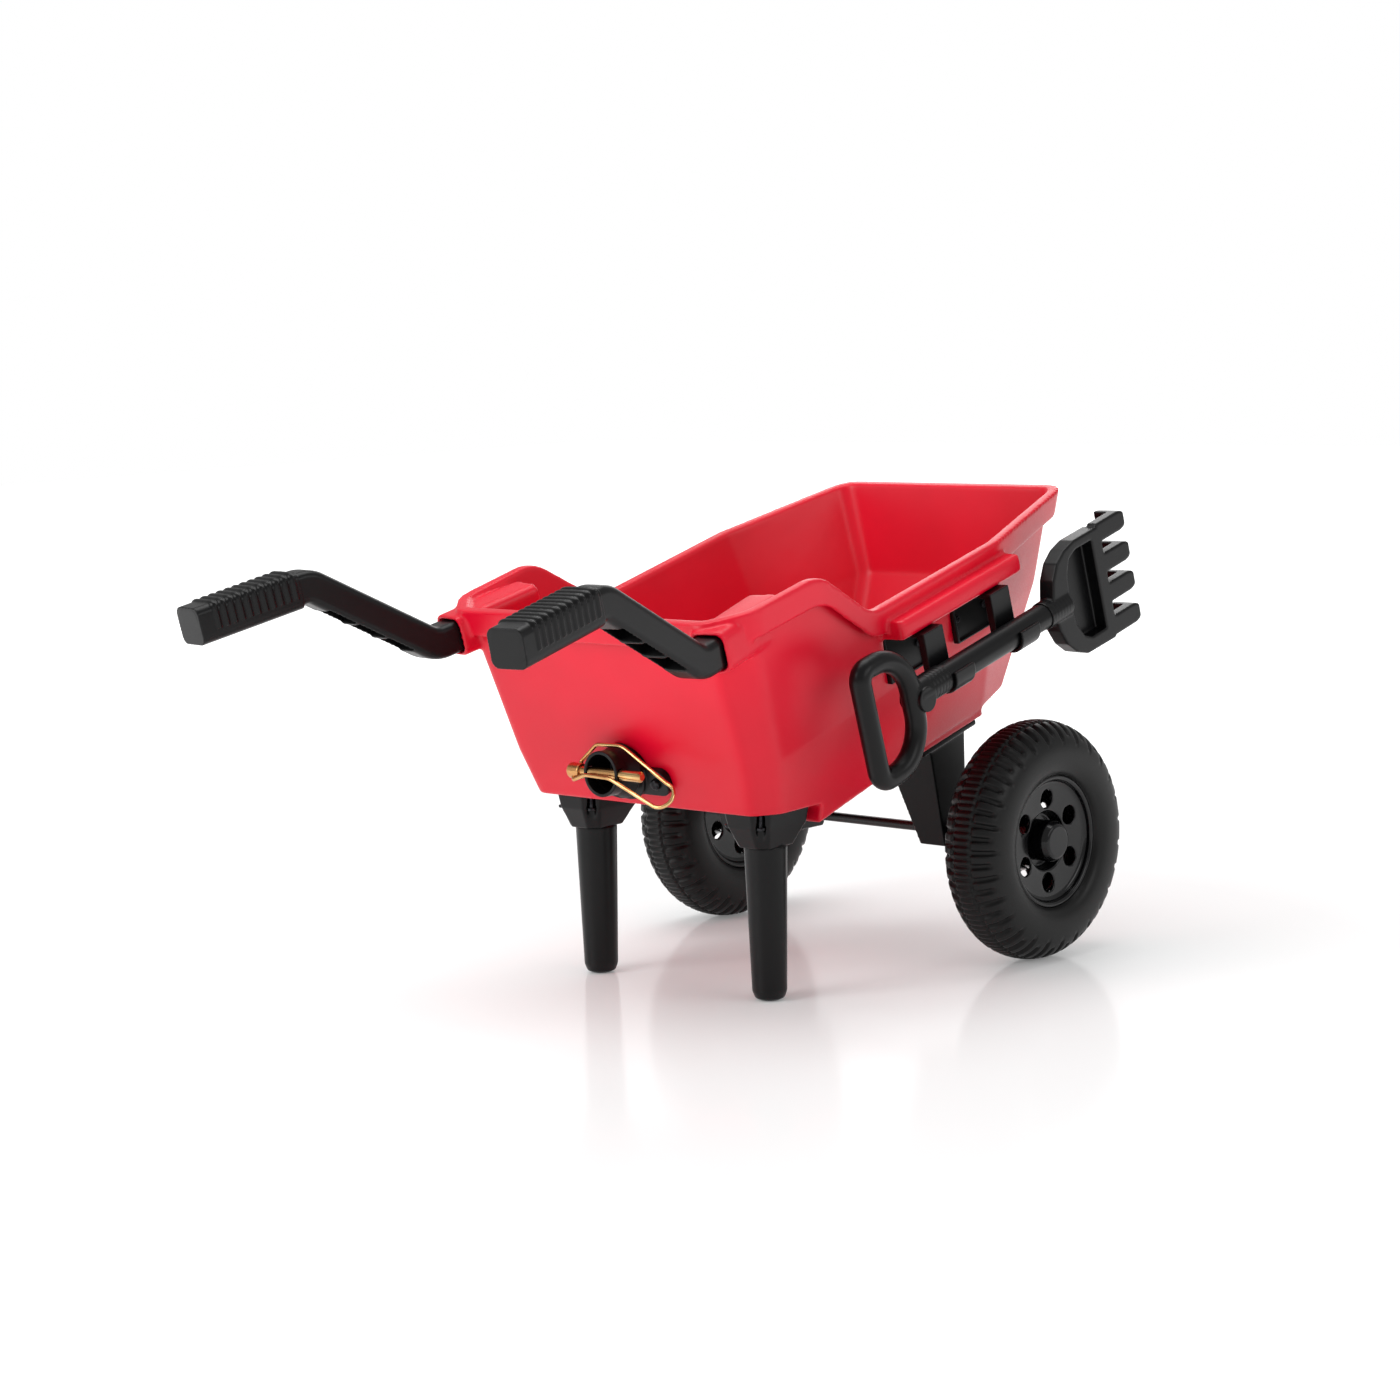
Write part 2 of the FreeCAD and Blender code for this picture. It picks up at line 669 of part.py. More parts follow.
for side in (1, -1):
    at = V(-FLANGE, side * BOLT_Y, BOLT_DROP)
    shank = Part.makeCylinder(BOLT_R, FLANGE + 12, at, V(1, 0, 0))
    head = Part.makeCylinder(5.5, 3.5, at, V(-1, 0, 0))
    head = head.makeFillet(1.5, [e for e in head.Edges if e.BoundBox.XMax < -FLANGE - 3])
    bolts.append(lean(shank.fuse(head), wall_x, hitch_z))
    flats = [V(wall + 0.2, 5.2 * cos(k * pi / 3), 5.2 * sin(k * pi / 3)) for k in range(7)]
    nut = Part.Face(Part.makePolygon(flats)).extrude(V(5, 0, 0))
    nut = nut.cut(Part.makeCylinder(BOLT_R + 0.05, 12, V(0, 0, 0), V(1, 0, 0)))
    nut.translate(V(0, side * BOLT_Y, BOLT_DROP))
    nuts.append(lean(nut, wall_x, hitch_z))
    hole = lean(Part.makeCylinder(BOLT_R + 0.2, 60, V(-30, side * BOLT_Y, BOLT_DROP), V(1, 0, 0)), wall_x, hitch_z)
    hitch = hitch.cut(hole)
    hole.rotate(V(0, 0, 0), Y_AXIS, plain(size("pitch")))
    drilled.append(hole)
coded("tow_socket", hitch)
coded("tow_socket_bolts", Part.makeCompound(bolts))
coded("tow_socket_nuts", Part.makeCompound(nuts))

# Hitch pin and its wire bail. The bail's ends sit in a cross hole in the pin's head; it
# lies over the tube and across the mouth, so the pin can't back out until it is swung up.

HEAD_Y = 37.0
HEAD_R = 7.6
TIP_Y = -49.0
BAIL_TURN = 51.0
pin_shape = Part.makeCylinder(pin_r, HEAD_Y - TIP_Y - 2, V(pin_x, TIP_Y + 2, hitch_z), Y_AXIS)
pin_shape = pin_shape.fuse(Part.makeCone(pin_r - 2, pin_r, 2, V(pin_x, TIP_Y, hitch_z), Y_AXIS))
head = Part.makeCylinder(HEAD_R, 15, V(pin_x, HEAD_Y - 7.5, hitch_z), Y_AXIS)
head = soft_edges(head, 1.5, lambda e: e.BoundBox.YMin > HEAD_Y + 7 or e.BoundBox.YMax < HEAD_Y - 7)
cross = V(cos(radians(BAIL_TURN)), 0, sin(radians(BAIL_TURN)))
wire_r = plain(size("wire_r"))
head_at = V(pin_x, HEAD_Y, hitch_z)
eye = Part.makeCylinder(wire_r + 0.3, 30, head_at - cross * 15, cross)
coded("hitch_pin", pin_shape.fuse(head).cut(eye))

# (distance towards the tip, X and Z from the pin's axis) along the upper and lower strands
UPPER_STRAND = [(0, 6.9, 8.5), (19, 8.5, 25.6), (52, 8.5, 26.2), (109, 8.0, -4.5), (122, 8.0, -9.5)]
LOWER_STRAND = [(122, -8.0, -30.0), (109, -8.5, -25.0), (52, -9.4, -2.5), (20, -9.4, -1.5), (0, -6.9, -8.5)]
BAIL_BENDS = [0, 3.5, 9, 30, 12, 12.6, 12.6, 12, 30, 9, 3.5, 0]


def bail():
    spots = [head_at + cross * 4.0]
    spots += [V(pin_x + dx, HEAD_Y - along, hitch_z + dz) for along, dx, dz in UPPER_STRAND + LOWER_STRAND]
    spots.append(head_at - cross * 4.0)
    path = Part.Wire(rounded_path(spots, BAIL_BENDS, closed=False))
    section = Part.Wire(Part.Circle(spots[0], cross, wire_r).toShape())
    return path.makePipeShell([section], True, False)


coded("pin_bail", bail())

# Axle brackets: moulded boxes, open towards the back, screwed up into the tub's pads.

axle_z = plain(size("axle_z"))
axle_r = plain(size("axle_r"))
bracket_out = plain(size("bracket_out"))
PAD_DROP = 9.0
BRACKET_WALL = 4.0
BRACKET_FOOT = 107.0
BRACKET_SCREWS = ((3.5, 72.0), (3.5, 102.0), (78.5, 72.0), (78.5, 102.0))


def bracket_body(shrink):
    """The box between its foot and the pad, as lofts through three levels."""
    levels = ((BRACKET_FOOT + shrink, -24.0, 80.0), (170.0, -37.0, 61.0), (245.0, -52.5, 61.0))
    rings = []
    for z, front, inner in levels:
        x0, x1 = front + shrink, 12.0 + 30.0 * (shrink > 0)
        y0, y1 = inner + shrink, bracket_out - shrink
        rings.append(Part.makePolygon([V(x0, y0, z), V(x1, y0, z), V(x1, y1, z), V(x0, y1, z), V(x0, y0, z)]))
    return Part.makeLoft(rings[:2], True, True).fuse(Part.makeLoft(rings[1:], True, True))


def upright(shape):
    """Turns a shape drawn in the tilted frame into the barrow's frame."""
    shape.rotate(V(0, 0, 0), Y_AXIS, -plain(size("pitch")))
    return shape


def bracket():
    box = bracket_body(0).cut(bracket_body(BRACKET_WALL))
    box = box.fuse(Part.makeCylinder(11, 32, V(0, 80, axle_z), Y_AXIS).common(bracket_body(0)))
    box = box.cut(upright(block(-200, 300, 0, 200, floor_w - PAD_DROP, 500)))
    flange = upright(block(-4, 86, 60, bracket_out + 4, floor_w - PAD_DROP - 6, floor_w - PAD_DROP))
    opening = upright(block(14, 64, 66, 107, floor_w - PAD_DROP - 8, floor_w - PAD_DROP - 3))
    box = box.fuse(flange).cut(opening)
    box = box.cut(Part.makeCylinder(axle_r + 0.05, 80, V(0, 50, axle_z), Y_AXIS))
    for u, y in BRACKET_SCREWS:
        box = box.cut(upright(Part.makeCylinder(2.2, 40, V(u, y, floor_w - 30), V(0, 0, 1))))
    return box.removeSplitter()


left_bracket, right_bracket = both_sides(bracket())
coded("axle_bracket_left", left_bracket)
coded("axle_bracket_right", right_bracket)
screws = []
for side in (1, -1):
    for u, y in BRACKET_SCREWS:
        w = floor_w - PAD_DROP - 6
        spot = V(u * cos(pitch) - w * sin(pitch), side * y, u * sin(pitch) + w * cos(pitch))
        screws.append(screw(spot, UP_TUB, 2.1, 14, 4.2, 2.6))
        drill_tub(spot, UP_TUB, 2.15, 17)
coded("bracket_screws", Part.makeCompound(screws))

# Axle: a plain rod held by the two brackets, with a spacer, washers and a nut at each end.

AXLE_HALF = 230.5
BUSH_IN, BUSH_OUT = -34.0, 16.0
WASHER = 1.5
turned("axle", [
    (0, -AXLE_HALF), (size("axle_r") - 1, -AXLE_HALF), (size("axle_r"), 1 - AXLE_HALF),
    (size("axle_r"), AXLE_HALF - 1), (size("axle_r") - 1, AXLE_HALF), (0, AXLE_HALF),
], 0.0, 0.0, size("axle_z"))
for side, name in ((1, "left"), (-1, "right")):
    turned(f"axle_spacer_{name}", [
        (size("axle_r") + 0.05, size("bracket_out") * side), (8.5, size("bracket_out") * side),
        (8.5, 170 * side), (size("axle_r") + 0.05, 170 * side),
    ], 0.0, 0.0, size("axle_z"))

wheel_y = plain(size("wheel_y"))
washers, nuts = [], []
for side in (1, -1):
    for start in (170.1, wheel_y + BUSH_OUT + 0.3):
        ring = Part.makeCylinder(10, WASHER, V(0, start, axle_z), Y_AXIS)
        ring = ring.cut(Part.makeCylinder(axle_r + 0.1, 40, V(0, start - 10, axle_z), Y_AXIS))
        washers.append(ring if side > 0 else ring.mirror(V(0, 0, 0), Y_AXIS))
    flats = [V(9 * cos(k * pi / 3), 0, 9 * sin(k * pi / 3)) for k in range(7)]
    nut = Part.Face(Part.makePolygon(flats)).extrude(V(0, 6.5, 0))
    nut = nut.cut(Part.makeCylinder(axle_r + 0.05, 20, V(0, -5, 0), Y_AXIS))
    nut.translate(V(0, wheel_y + BUSH_OUT + 0.3 + WASHER, axle_z))
    nuts.append(nut if side > 0 else nut.mirror(V(0, 0, 0), Y_AXIS))
coded("axle_washers", Part.makeCompound(washers))
coded("axle_nuts", Part.makeCompound(nuts))

# Wheels: a hollow tyre over two snapped-together discs that turn on a bush, with a hub cap.

tyre_r = size("tyre_r")
tyre_half = size("tyre_half")
lip_r = size("lip_r")
TREAD_BLOCKS = 54
HOLES = 6


def half_tyre(shrink):
    """Outside of the tyre from bead to crown, moved inwards by shrink; (radius, along).
    The bead is stepped to make room for the disc's lip."""
    step = lip_r + 4.4 + shrink
    return [
        (lip_r, tyre_half - 11 - shrink), (step, tyre_half - 11 - shrink),
        (step, tyre_half - 6.4 - shrink * 0.6), (lip_r + 8 + shrink * 0.8, tyre_half - 3 - shrink * 0.8),
        (lip_r + 22, tyre_half - shrink), (tyre_r - 22, tyre_half - 1.5 - shrink),
        (tyre_r - 11 - shrink * 0.6, tyre_half - 8 - shrink * 0.8),
        (tyre_r - 4 - shrink, tyre_half - 17 - shrink * 0.3),
    ]


def tyre(name, side):
    outer = half_tyre(0) + [(tyre_r - 1.2, 12.5), (tyre_r - 3, 12.2), (tyre_r - 3, 10), (tyre_r, 9.8)]
    inner = half_tyre(4.0) + [(tyre_r - 5.6, 6)]
    profile = outer + [(r, -along if isinstance(along, Size) else -float(along)) for r, along in outer[::-1]]
    profile += [(r, -along if isinstance(along, Size) else -float(along)) for r, along in inner]
    profile += inner[::-1]
    body = turned(f"tyre_{name}", profile, 0.0, size("wheel_y") * side, size("axle_z"))
    for way in (1, -1):
        sketch = sketch_on(body, f"tread_{name}_{'out' if way > 0 else 'in'}", "XZ_Plane", -26.0 * way)
        outline(sketch, [(tyre_r - 5, -1.3), (tyre_r + 2, -1.3), (tyre_r + 2, 1.3), (tyre_r - 5, 1.3)])
        cut = pocket(body, sketch, 14, reverse=way > 0)
        pattern(body, cut, sketch, TREAD_BLOCKS)
    return body


def disc(name, side, outward):
    """One dished disc with its lip, its barrel and six round holes."""
    way = side * outward
    profile = [
        (9.3, 1), (9.3, 4), (27, 4), (30, 16), (57, 18.5), (lip_r - 2, 20), (lip_r - 1, 24.5), (lip_r + 1, 26),
        (lip_r + 4, 25.5), (lip_r + 4, 23.3), (lip_r - 0.3, 23.3), (lip_r - 0.3, 0.2), (lip_r - 3.3, 0.2),
        (lip_r - 3.3, 17.2), (57.5, 15.4), (32.8, 13.1), (30, 1),
    ]
    body = turned(f"wheel_disc_{'outer' if outward > 0 else 'inner'}_{name}",
                  [(r, along * way) for r, along in profile], 0.0, size("wheel_y") * side, size("axle_z"))
    sketch = sketch_on(body, f"holes_{name}_{'outer' if outward > 0 else 'inner'}", "XZ_Plane")
    circle(sketch, 0.0, 42.0, 9.5)
    cut = pocket(body, sketch, 60, midplane=True)
    pattern(body, cut, sketch, HOLES)
    return body


for side, name in ((1, "left"), (-1, "right")):
    tyre(name, side)
    disc(name, side, 1)
    disc(name, side, -1)
    turned(f"hub_bush_{name}", [
        (size("axle_r") + 0.06, BUSH_IN * side), (9.2, BUSH_IN * side), (9.2, BUSH_OUT * side),
        (size("axle_r") + 0.06, BUSH_OUT * side),
    ], 0.0, size("wheel_y") * side, size("axle_z"))
    turned(f"hub_cap_{name}", [
        (18, 4.1 * side), (20.5, 4.1 * side), (20.5, 24 * side), (17.5, 29.5 * side), (15, 30.5 * side),
        (0, 30.5 * side), (0, 28 * side), (14.5, 28 * side), (18, 23 * side),
    ], 0.0, size("wheel_y") * side, size("axle_z"))

# Tool clips: a shallow tray in each window, a flat strap under the rail and a J-shaped hook
# that is open upwards.

rake_y = plain(size("rake_y"))
rake_w = plain(size("rake_w"))
shaft_r = plain(size("shaft_r"))
clip_long = plain(size("clip_long"))
HOOK_IN = shaft_r + slack
HOOK_OUT = HOOK_IN + 3.6
PLATE = 3.6
TRAY_DEEP = 6.6
STRAP_IN = 200.0
rail_low = plain(size("rail_low"))
CLIP_SCREW_W = 350.0


def clip(window_u):
    u0 = window_u + (window_long - clip_long) / 2
    ring = Part.makeCylinder(HOOK_OUT, clip_long, V(u0, -rake_y, rake_w), V(1, 0, 0))
    ring = ring.common(block(u0, u0 + clip_long, -300, 0, rake_w - 40, rake_w))
    tab = block(u0, u0 + clip_long, -rake_y - HOOK_OUT, -rake_y - HOOK_IN, rake_w, rake_w + 5.5)
    strap = block(u0, u0 + clip_long, -rake_y + HOOK_IN, -STRAP_IN, rake_w - 12, rail_low - 0.3)
    web = block(u0, u0 + clip_long, -STRAP_IN - 2, -window_deep - 1, rail_low - 4.5, rail_low - 0.3)
    tray = block(window_u + 0.4, window_u + window_long - 0.4, -window_deep - TRAY_DEEP, -window_deep - 0.1,
                 window_low + 0.4, rail_low - 0.3)
    tray = tray.cut(block(window_u + 3, window_u + window_long - 3, -window_deep - TRAY_DEEP - 1,
                          -window_deep - PLATE, window_low + 3, rail_low - 3))
    piece = ring.fuse(tab).fuse(strap).fuse(web).fuse(tray)
    piece = piece.cut(Part.makeCylinder(HOOK_IN, clip_long + 2, V(u0 - 1, -rake_y, rake_w), V(1, 0, 0)))
    piece = piece.cut(block(u0 - 1, u0 + clip_long + 1, -rake_y - HOOK_IN, -rake_y + HOOK_IN, rake_w, 500))
    for u in clip_screw_spots(window_u):
        piece = piece.cut(Part.makeCylinder(1.95, 20, V(u, -window_deep - 10, CLIP_SCREW_W), Y_AXIS))
    return piece.removeSplitter()


def clip_screw_spots(window_u):
    return (window_u + 7.0, window_u + window_long - 7.0)


screws = []
for name, window_u in (("front", plain(size("window_front_u"))), ("rear", plain(size("window_rear_u")))):
    coded(f"tool_clip_{name}", clip(window_u), tilted=True)
    for u in clip_screw_spots(window_u):
        screws.append(screw(V(u, -window_deep - PLATE, CLIP_SCREW_W), Y_AXIS, 1.9, 6.4, 3.6, 2.2))
        drilled.append(Part.makeCylinder(1.95, 20, V(u, -window_deep - 10, CLIP_SCREW_W), Y_AXIS))
coded("clip_screws", Part.makeCompound(screws), tilted=True)

# Rake: a tube with a moulded D-grip at one end and a pan-shaped, four-tined head at the other.

SLEEVE_R = shaft_r + 1.3
SHAFT_FRONT, SHAFT_BACK = -104.0, 112.0
shaft = Part.makeCylinder(shaft_r, SHAFT_BACK - SHAFT_FRONT, V(SHAFT_FRONT, -rake_y, rake_w), V(1, 0, 0))
shaft = shaft.cut(Part.makeCylinder(shaft_r - 2, 400, V(-200, -rake_y, rake_w), V(1, 0, 0)))
coded("rake_shaft", shaft, tilted=True)


def sleeve(start, stop):
    """A socket for the shaft with fine rings round it."""
    tube = Part.makeCylinder(SLEEVE_R, stop - start, V(start, -rake_y, rake_w), V(1, 0, 0))
    for count in range(int((stop - start) / 5)):
        at = start + 3 + count * 5
        groove = Part.makeCylinder(SLEEVE_R + 1, 1.2, V(at, -rake_y, rake_w), V(1, 0, 0))
        tube = tube.cut(groove.cut(Part.makeCylinder(SLEEVE_R - 0.6, 3, V(at - 1, -rake_y, rake_w), V(1, 0, 0))))
    return tube


def shaft_room(shape):
    return shape.cut(Part.makeCylinder(shaft_r + 0.05, SHAFT_BACK - SHAFT_FRONT + 1,
                                       V(SHAFT_FRONT - 0.5, -rake_y, rake_w), V(1, 0, 0)))


GRIP_R = 10.5
GRIP_LOOP = [(-190.0, 381.0, 12.0), (-124.0, 381.0, 44.0), (-124.0, 271.0, 44.0), (-190.0, 271.0, 12.0)]
loop = rounded_path([V(u, -rake_y, w) for u, w, _ in GRIP_LOOP], [r for _, _, r in GRIP_LOOP])
loop = Part.Wire(loop)
first = loop.OrderedEdges[1]
section = Part.Wire(Part.Circle(first.valueAt(first.FirstParameter), first.tangentAt(first.FirstParameter),
                                GRIP_R).toShape())
d_grip = Part.Wire(loop.OrderedEdges[1:] + loop.OrderedEdges[:1]).makePipeShell([section], True, False)
d_grip = d_grip.fuse(Part.makeCylinder(12, 26, V(-116.5, -rake_y - 14, 327), Y_AXIS))
d_grip = d_grip.fuse(Part.makeCylinder(SLEEVE_R, 16, V(-123, -rake_y, rake_w), V(1, 0, 0)))
d_grip = d_grip.fuse(sleeve(-107, -77))
coded("rake_grip", shaft_room(d_grip), tilted=True)

HEAD_FACE, HEAD_BACK = -rake_y - 9.0, -rake_y + 9.0
PAN = [(149, 390), (132, 386), (117, 377), (107, 363), (102, 347), (101, 330), (104, 311), (112, 294),
       (125, 281), (142, 273), (190, 272), (195, 277), (195, 385), (190, 390)]
PAN_ROOM = [(150, 380), (138, 375), (131, 362), (129, 346), (129, 328), (132, 308), (141, 293),
            (152, 287), (178, 287), (178, 380)]
TINE_W = (383.0, 350.5, 319.0, 284.0)
head_shape = prism(PAN, HEAD_FACE, HEAD_BACK)
head_shape = head_shape.cut(prism(PAN_ROOM, HEAD_FACE - 1, HEAD_BACK - 4))
head_shape = head_shape.fuse(sleeve(89, 126))
for w in TINE_W:
    arm = [(190, w - 10), (229, w - 10), (235, w - 8.5), (238, w - 6), (238, w + 6), (235, w + 8.5),
           (229, w + 10), (190, w + 10)]
    head_shape = head_shape.fuse(prism(arm, HEAD_FACE, HEAD_BACK - 6))
    tip = [(225, w - 10), (229, w - 10), (235, w - 8.5), (238, w - 6), (238, w + 6), (235, w + 8.5),
           (229, w + 10), (225, w + 10)]
    head_shape = head_shape.fuse(prism(tip, HEAD_FACE, HEAD_BACK + 10))
coded("rake_head", shaft_room(head_shape).removeSplitter(), tilted=True)

for hole in drilled:
    shell = shell.cut(hole)
coded("tub", shell.removeSplitter(), tilted=True)

os.makedirs("parts", exist_ok=True)
doc.recompute()
for thing in doc.Objects:
    if "Invalid" in thing.State or "Error" in thing.State:
        raise SystemExit(f"{thing.Label} failed: {thing.State}")
for piece in PIECES:
    if piece.Shape.isNull() or not piece.Shape.isValid():
        raise SystemExit(f"{piece.Label} has no valid shape")
    piece.Shape.exportStep(f"parts/{piece.Label}.step")
    box = piece.Shape.BoundBox
    print(piece.Label, len(piece.Shape.Solids), round(piece.Shape.Volume), [round(q, 1) for q in
          (box.XMin, box.XMax, box.YMin, box.YMax, box.ZMin, box.ZMax)])
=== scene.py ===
import json
import math

import bmesh
import bpy
from mathutils import Matrix, Vector


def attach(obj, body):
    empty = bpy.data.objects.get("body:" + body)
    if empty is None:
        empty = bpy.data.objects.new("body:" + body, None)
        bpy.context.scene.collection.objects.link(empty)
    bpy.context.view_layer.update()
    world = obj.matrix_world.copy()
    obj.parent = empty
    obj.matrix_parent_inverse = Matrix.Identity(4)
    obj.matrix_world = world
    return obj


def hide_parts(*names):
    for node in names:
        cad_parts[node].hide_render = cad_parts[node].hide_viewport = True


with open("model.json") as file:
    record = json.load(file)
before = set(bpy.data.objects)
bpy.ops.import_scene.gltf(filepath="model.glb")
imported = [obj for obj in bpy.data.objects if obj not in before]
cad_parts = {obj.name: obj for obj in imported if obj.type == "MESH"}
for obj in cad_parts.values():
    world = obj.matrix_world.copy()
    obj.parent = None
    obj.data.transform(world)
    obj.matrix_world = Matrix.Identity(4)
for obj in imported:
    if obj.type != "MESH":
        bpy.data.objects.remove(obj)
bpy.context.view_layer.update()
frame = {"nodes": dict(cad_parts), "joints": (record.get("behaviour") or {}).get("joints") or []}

# Camera, floor and light. The barrow stands on a pale studio floor, seen from its right
# front corner, a little above the tub's rim, with a large soft light at the front left.

CAMERA_AT = Vector((-2.2266, -2.0941, 0.6600))
CAMERA_AHEAD = Vector((0.7262, 0.6763, -0.1238))
CAMERA_UP = Vector((0.1127, 0.0606, 0.9918))
LENS_MM = 81.67
SENSOR_MM = 36.0


def aimed(spot, ahead, up):
    """A matrix that looks ahead from a spot with up upwards."""
    back = -ahead.normalized()
    right = up.cross(back).normalized()
    turn = Matrix((right, back.cross(right), back)).transposed()
    return Matrix.Translation(spot) @ turn.to_4x4()


camera = bpy.data.objects.new("camera", bpy.data.cameras.new("camera"))
camera.data.lens = LENS_MM
camera.data.sensor_width = SENSOR_MM
camera.data.clip_end = 60.0
camera.matrix_world = aimed(CAMERA_AT, CAMERA_AHEAD, CAMERA_UP)
bpy.context.scene.collection.objects.link(camera)
bpy.context.scene.camera = camera


def linear(hex_colour, alpha=1.0):
    """An sRGB hex colour as linear RGBA."""
    parts = [int(hex_colour[i:i + 2], 16) / 255 for i in (1, 3, 5)]
    return [p / 12.92 if p <= 0.04045 else ((p + 0.055) / 1.055) ** 2.4 for p in parts] + [alpha]


def add(tree, kind, sockets=None, **settings):
    """Adds a node, sets its properties, and fills or links its sockets."""
    made = tree.nodes.new(kind)
    for key, value in settings.items():
        setattr(made, key, value)
    for key, value in (sockets or {}).items():
        if isinstance(value, bpy.types.NodeSocket):
            tree.links.new(value, made.inputs[key])
        else:
            made.inputs[key].default_value = value
    return made


def surface(name, **sockets):
    """An empty material: its node tree, its shader and its output."""
    made = bpy.data.materials.new(name)
    made.use_nodes = True
    tree = made.node_tree
    tree.nodes.clear()
    shader = add(tree, "ShaderNodeBsdfPrincipled", {key.replace("_", " "): v for key, v in sockets.items()})
    add(tree, "ShaderNodeOutputMaterial", {"Surface": shader.outputs[0]})
    return made, tree, shader


def panel(name, spot, target, width, height, power, colour="#FFFFFF"):
    """A rectangular soft light aimed at a point."""
    lamp = bpy.data.lights.new(name, "AREA")
    lamp.shape = "RECTANGLE"
    lamp.size, lamp.size_y = width, height
    lamp.energy = power
    lamp.color = linear(colour)[:3]
    made = bpy.data.objects.new(name, lamp)
    made.matrix_world = aimed(Vector(spot), Vector(target) - Vector(spot), Vector((0, 0, 1)))
    bpy.context.scene.collection.objects.link(made)


panel("front_light", (-2.6, 0.9, 1.5), (-0.2, 0.0, 0.25), 1.6, 1.6, 40)
panel("side_light", (0.5, -2.8, 1.5), (0.0, 0.0, 0.2), 2.2, 0.8, 15)
panel("top_light", (0.2, 0.3, 2.6), (0.0, 0.0, 0.2), 2.2, 1.6, 34)
panel("back_light", (2.4, 1.4, 1.6), (0.1, 0.0, 0.25), 1.6, 1.2, 14)

# The studio's white is seen at full strength and lights the barrow at half of it.
WORLD_SEEN, WORLD_CAST = 1.0, 0.5
world = bpy.data.worlds.new("studio")
world.use_nodes = True
world.node_tree.nodes.clear()
ray = add(world.node_tree, "ShaderNodeLightPath").outputs["Is Camera Ray"]
level = add(world.node_tree, "ShaderNodeMapRange", {"Value": ray, "To Min": WORLD_CAST, "To Max": WORLD_SEEN})
sky = add(world.node_tree, "ShaderNodeBackground", {"Color": linear("#FFFFFF"), "Strength": level.outputs[0]})
add(world.node_tree, "ShaderNodeOutputWorld", {"Surface": sky.outputs[0]})
bpy.context.scene.world = world
bpy.context.scene.view_settings.view_transform = "Standard"

# White acrylic, lit from below and brighter with distance, so that it meets the white behind it.
FLOOR_HALF = 9.0
GLOW_NEAR_M, GLOW_FAR_M = 0.7, 2.6
GLOW_NEAR, GLOW_FAR = 0.16, 0.95
floor_mesh = bpy.data.meshes.new("floor")
floor_mesh.from_pydata([(-FLOOR_HALF, -FLOOR_HALF, 0), (FLOOR_HALF, -FLOOR_HALF, 0),
                        (FLOOR_HALF, FLOOR_HALF, 0), (-FLOOR_HALF, FLOOR_HALF, 0)], [], [(0, 1, 2, 3)])
floor = bpy.data.objects.new("floor", floor_mesh)
floor_paint, tree, shader = surface("polished_white_acrylic", Base_Color=linear("#FBFBFB"), Roughness=0.13,
                                    Specular_IOR_Level=0.4, Emission_Color=linear("#FFFFFF"))
spot = add(tree, "ShaderNodeTexCoord").outputs["Object"]
away = add(tree, "ShaderNodeVectorMath", {0: spot}, operation="LENGTH").outputs["Value"]
glow = add(tree, "ShaderNodeMapRange", {"Value": away, "From Min": GLOW_NEAR_M, "From Max": GLOW_FAR_M,
                                        "To Min": GLOW_NEAR, "To Max": GLOW_FAR})
tree.links.new(glow.outputs[0], shader.inputs["Emission Strength"])
floor_mesh.materials.append(floor_paint)
bpy.context.scene.collection.objects.link(floor)

# Tub: one blow-moulded shell of red polypropylene with its rim turned outwards. The mould
# leaves every edge soft, a faint ripple where the walls cooled, and an uneven satin gloss.

MM = 0.001
JOIN_M = 1e-6


def moulded_plastic(name, colour, deep, roughness, grain_mm, grain_deep, ripple_mm, gloss):
    """Moulded polypropylene: slightly uneven colour and gloss, fine grain, and a slow ripple."""
    made, tree, shader = surface(name, IOR=1.49, Specular_IOR_Level=gloss)
    place = add(tree, "ShaderNodeTexCoord").outputs["Object"]
    cloud = add(tree, "ShaderNodeTexNoise", {"Vector": place, "Scale": 1 / (ripple_mm * 2 * MM),
                                             "Detail": 3.0})
    tone = add(tree, "ShaderNodeValToRGB", {"Fac": cloud.outputs[0]})
    tone.color_ramp.elements[0].position, tone.color_ramp.elements[1].position = 0.35, 0.7
    tone.color_ramp.elements[0].color, tone.color_ramp.elements[1].color = linear(deep), linear(colour)
    tree.links.new(tone.outputs[0], shader.inputs["Base Color"])
    grain = add(tree, "ShaderNodeTexNoise", {"Vector": place, "Scale": 1 / (grain_mm * MM), "Detail": 2.0})
    satin = add(tree, "ShaderNodeMapRange", {"Value": grain.outputs[0], "From Min": 0.3, "From Max": 0.7,
                                             "To Min": roughness - 0.05, "To Max": roughness + 0.06})
    tree.links.new(satin.outputs[0], shader.inputs["Roughness"])
    ripple = add(tree, "ShaderNodeTexNoise", {"Vector": place, "Scale": 1 / (ripple_mm * MM), "Detail": 1.0})
    slow = add(tree, "ShaderNodeBump", {"Height": ripple.outputs[0], "Strength": 0.12, "Distance": 2 * MM})
    fine = add(tree, "ShaderNodeBump", {"Height": grain.outputs[0], "Strength": 0.35,
                                        "Distance": grain_deep * MM, "Normal": slow.outputs[0]})
    tree.links.new(fine.outputs[0], shader.inputs["Normal"])
    return made


def new_piece(name, mesh, material, body, node):
    """Puts a finished mesh in the scene, parents it to the body it rides on and hides the CAD node it
    replaces.
    """
    made = bpy.data.objects.new(name, mesh)
    bpy.context.scene.collection.objects.link(made)
    mesh.materials.clear()
    mesh.materials.append(material)
    for face in mesh.polygons:
        face.use_smooth = True
    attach(made, body)
    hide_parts(node)
    return made


